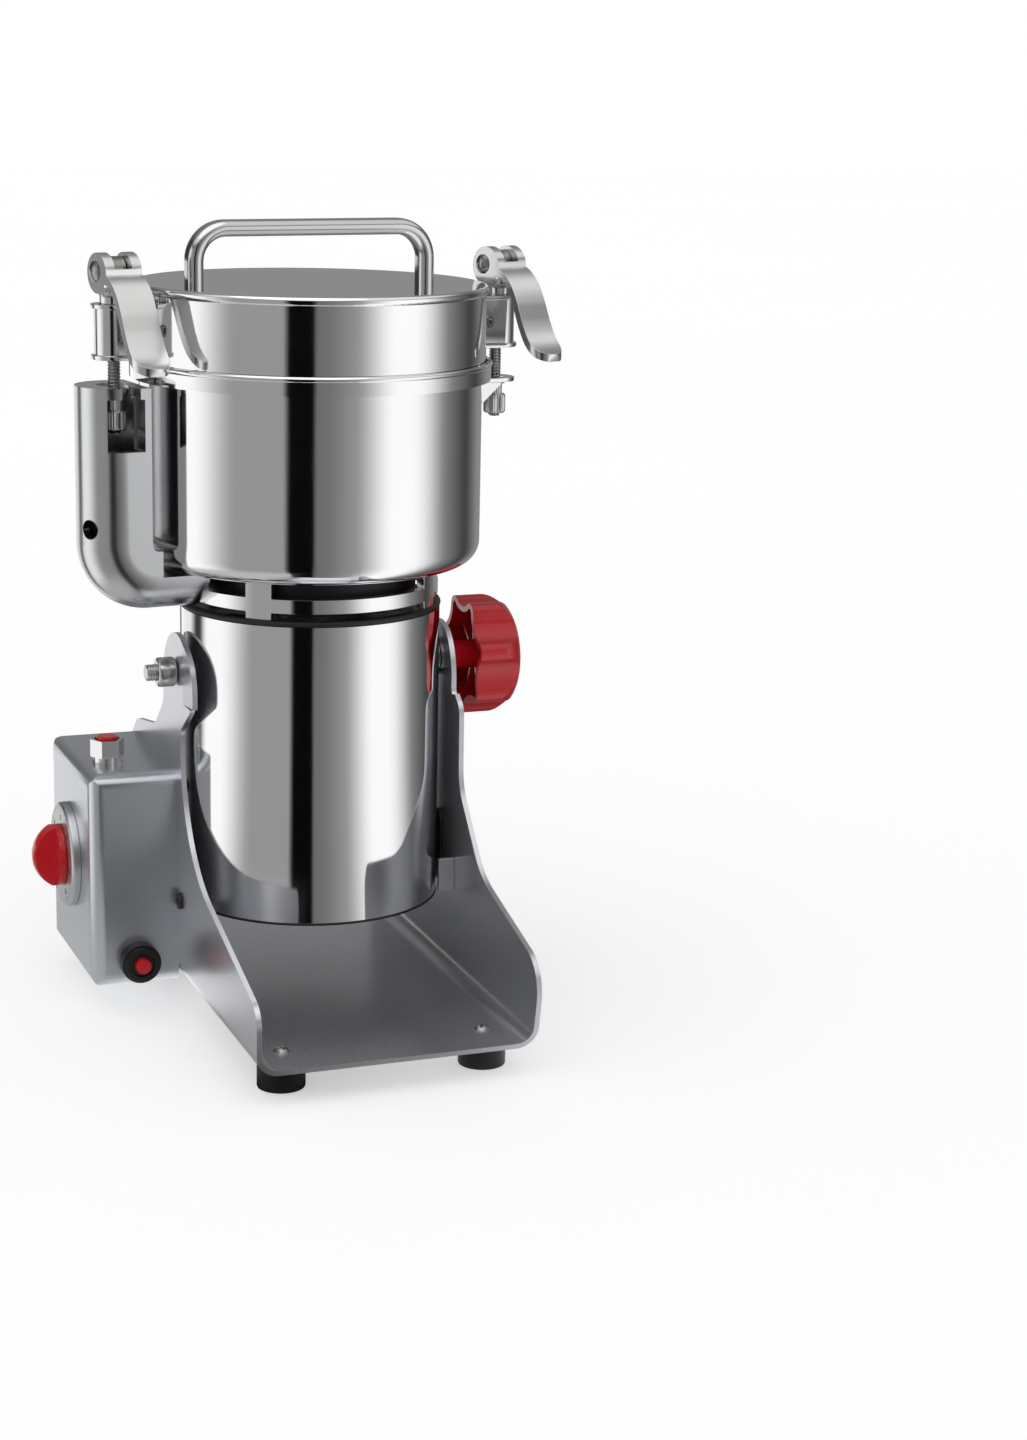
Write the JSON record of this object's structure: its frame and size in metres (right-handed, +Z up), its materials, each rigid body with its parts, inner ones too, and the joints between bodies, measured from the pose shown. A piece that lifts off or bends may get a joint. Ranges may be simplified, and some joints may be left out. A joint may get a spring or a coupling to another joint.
{
  "type": "electric grain mill",
  "caption": "Swing-type electric grain mill with a tilting polished bowl and motor, cam-clamped lid, timer knob, push buttons and a sheet-metal stand.",
  "frame": {"origin": "on the floor, under the middle of the whole mill's box", "axes": "+Z up, -Y towards the front, where the bowl pours; +X towards the star knob"},
  "size_m": [0.2444, 0.2386, 0.377],
  "materials": {
    "frame_paint": "satin silver-grey paint",
    "box_paint": "satin silver-blue paint",
    "polished_steel": "mirror polished",
    "handle_steel": "polished",
    "lug_chrome": "polished",
    "cast_aluminium": "satin",
    "lever_nickel": "satin",
    "dark_steel": "dark, threaded",
    "nut_nickel": "knurled",
    "screw_steel": "plain",
    "red_plastic": "glossy",
    "dial_metal": "satin",
    "black_rubber": "matte",
    "black_plastic": "semi-matte",
    "seal_silicone": "soft",
    "timer_plastic": "plain",
    "core_iron": "laminated",
    "copper": "wound or bare",
    "machined_steel": "machined",
    "cast_bracket": "cast"
  },
  "bodies": {
    "stand": {"base_frame": "frame_paint", "rubber_feet": "black_rubber", "foot_screws": "screw_steel", "upright_stop": "frame_paint", "stop_pad": "black_rubber", "wall_grommet": "black_rubber", "control_box": "box_paint", "box_screws": "screw_steel", "cord_gland": "black_rubber", "timer_body": "timer_plastic", "dial_plate": "dial_metal", "breaker_body": "black_plastic", "breaker_nut": "black_plastic", "start_switch_body": "black_plastic", "start_switch_collar": "lug_chrome"},
    "head": {"motor_housing": "polished_steel", "motor_end_cover": "black_plastic", "cover_screws": "screw_steel", "housing_gasket": "black_rubber", "vent_ring": "polished_steel", "grinding_bowl": "polished_steel", "switch_arm": "cast_aluminium", "latch_tab": "lug_chrome", "pivot_studs": "nut_nickel", "pivot_nuts": "nut_nickel", "stator_core": "core_iron", "field_coils": "copper", "bearings": "machined_steel", "bearing_brackets": "cast_bracket", "brush_holders": "copper", "carbon_brushes": "black_plastic", "shaft_seal": "black_rubber", "microswitch": "black_plastic"},
    "rotor": {"motor_shaft": "machined_steel", "armature_core": "core_iron", "armature_winding": "copper", "commutator": "copper", "cooling_fan": "black_plastic", "blades": "machined_steel", "blade_spacer": "machined_steel", "blade_nut": "machined_steel"},
    "lid": {"lid_shell": "polished_steel", "lid_handle": "handle_steel", "lid_seal": "seal_silicone", "clamp_lugs": "lug_chrome"},
    "left_swivel": {"left_collar": "lug_chrome"},
    "left_rod": {"left_clamp_rod": "dark_steel", "left_lever_pin": "dark_steel"},
    "left_lever": {"left_clamp_lever": "lever_nickel"},
    "left_nut": {"left_knurled_nut": "nut_nickel"},
    "right_swivel": {"right_collar": "lug_chrome"},
    "right_rod": {"right_clamp_rod": "dark_steel", "right_lever_pin": "dark_steel"},
    "right_lever": {"right_clamp_lever": "lever_nickel"},
    "right_nut": {"right_knurled_nut": "nut_nickel"},
    "tilt_lock": {"tilt_knob": "red_plastic"},
    "timer": {"timer_knob": "red_plastic", "timer_shaft": "copper"},
    "start": {"start_button": "red_plastic"},
    "reset": {"reset_button": "red_plastic"}
  },
  "joints": [
    {"name": "head_tilt", "type": "hinge", "parent": "stand", "child": "head", "pos_m": [0.0047, 0.02445, 0.167], "axis": [1, 0, 0], "range_deg": [0, 85]},
    {"name": "rotor_spin", "type": "hinge", "parent": "head", "child": "rotor", "pos_m": [0.0047, 0.02445, 0.15], "axis": [0, 0, 1], "continuous": true},
    {"name": "lid_turn", "type": "hinge", "parent": "head", "child": "lid", "pos_m": [0.0047, 0.02445, 0.33], "axis": [0, 0, 1], "range_deg": [0, 30]},
    {"name": "left_swivel_turn", "type": "hinge", "parent": "lid", "child": "left_swivel", "pos_m": [-0.09157, 0.01255, 0.342], "axis": [0, 0, 1], "range_deg": [-40, 6]},
    {"name": "left_rod_drop", "type": "slide", "parent": "left_swivel", "child": "left_rod", "axis": [0, 0, 1], "range_m": [-0.0015, 0]},
    {"name": "left_lever_flip", "type": "hinge", "parent": "left_rod", "child": "left_lever", "pos_m": [-0.09157, 0.01255, 0.3549], "axis": [-0.9681, -0.2504, 0], "range_deg": [0, 150]},
    {"name": "left_nut_spin", "type": "hinge", "parent": "left_rod", "child": "left_nut", "pos_m": [-0.09157, 0.01255, 0.29], "axis": [0, 0, 1], "continuous": true},
    {"name": "right_swivel_turn", "type": "hinge", "parent": "lid", "child": "right_swivel", "pos_m": [0.10097, 0.03635, 0.342], "axis": [0, 0, 1], "range_deg": [-20, 40]},
    {"name": "right_rod_drop", "type": "slide", "parent": "right_swivel", "child": "right_rod", "axis": [0, 0, 1], "range_m": [-0.0015, 0]},
    {"name": "right_lever_flip", "type": "hinge", "parent": "right_rod", "child": "right_lever", "pos_m": [0.10097, 0.03635, 0.3549], "axis": [-0.9304, -0.3665, 0], "range_deg": [0, 150]},
    {"name": "right_nut_spin", "type": "hinge", "parent": "right_rod", "child": "right_nut", "pos_m": [0.10097, 0.03635, 0.29], "axis": [0, 0, 1], "continuous": true},
    {"name": "tilt_lock_turn", "type": "hinge", "parent": "head", "child": "tilt_lock", "pos_m": [0.09075, 0.02445, 0.167], "axis": [1, 0, 0], "range_deg": [0, 360]},
    {"name": "timer_turn", "type": "hinge", "parent": "stand", "child": "timer", "pos_m": [-0.10365, 0.06845, 0.069], "axis": [1, 0, 0], "range_deg": [0, 300]},
    {"name": "start_press", "type": "slide", "parent": "stand", "child": "start", "axis": [0, 0, -1], "range_m": [0, 0.002], "stiffness_N_per_m": 500, "springref_m": -0.001},
    {"name": "reset_press", "type": "slide", "parent": "stand", "child": "reset", "axis": [0, 1, 0], "range_m": [0, 0.002], "stiffness_N_per_m": 500, "springref_m": -0.001}
  ],
  "couplings": [
    {"joint": "left_rod_drop", "follows": "left_lever_flip", "m_per_rad": -0.0005729},
    {"joint": "right_rod_drop", "follows": "right_lever_flip", "m_per_rad": -0.0005729}
  ]
}
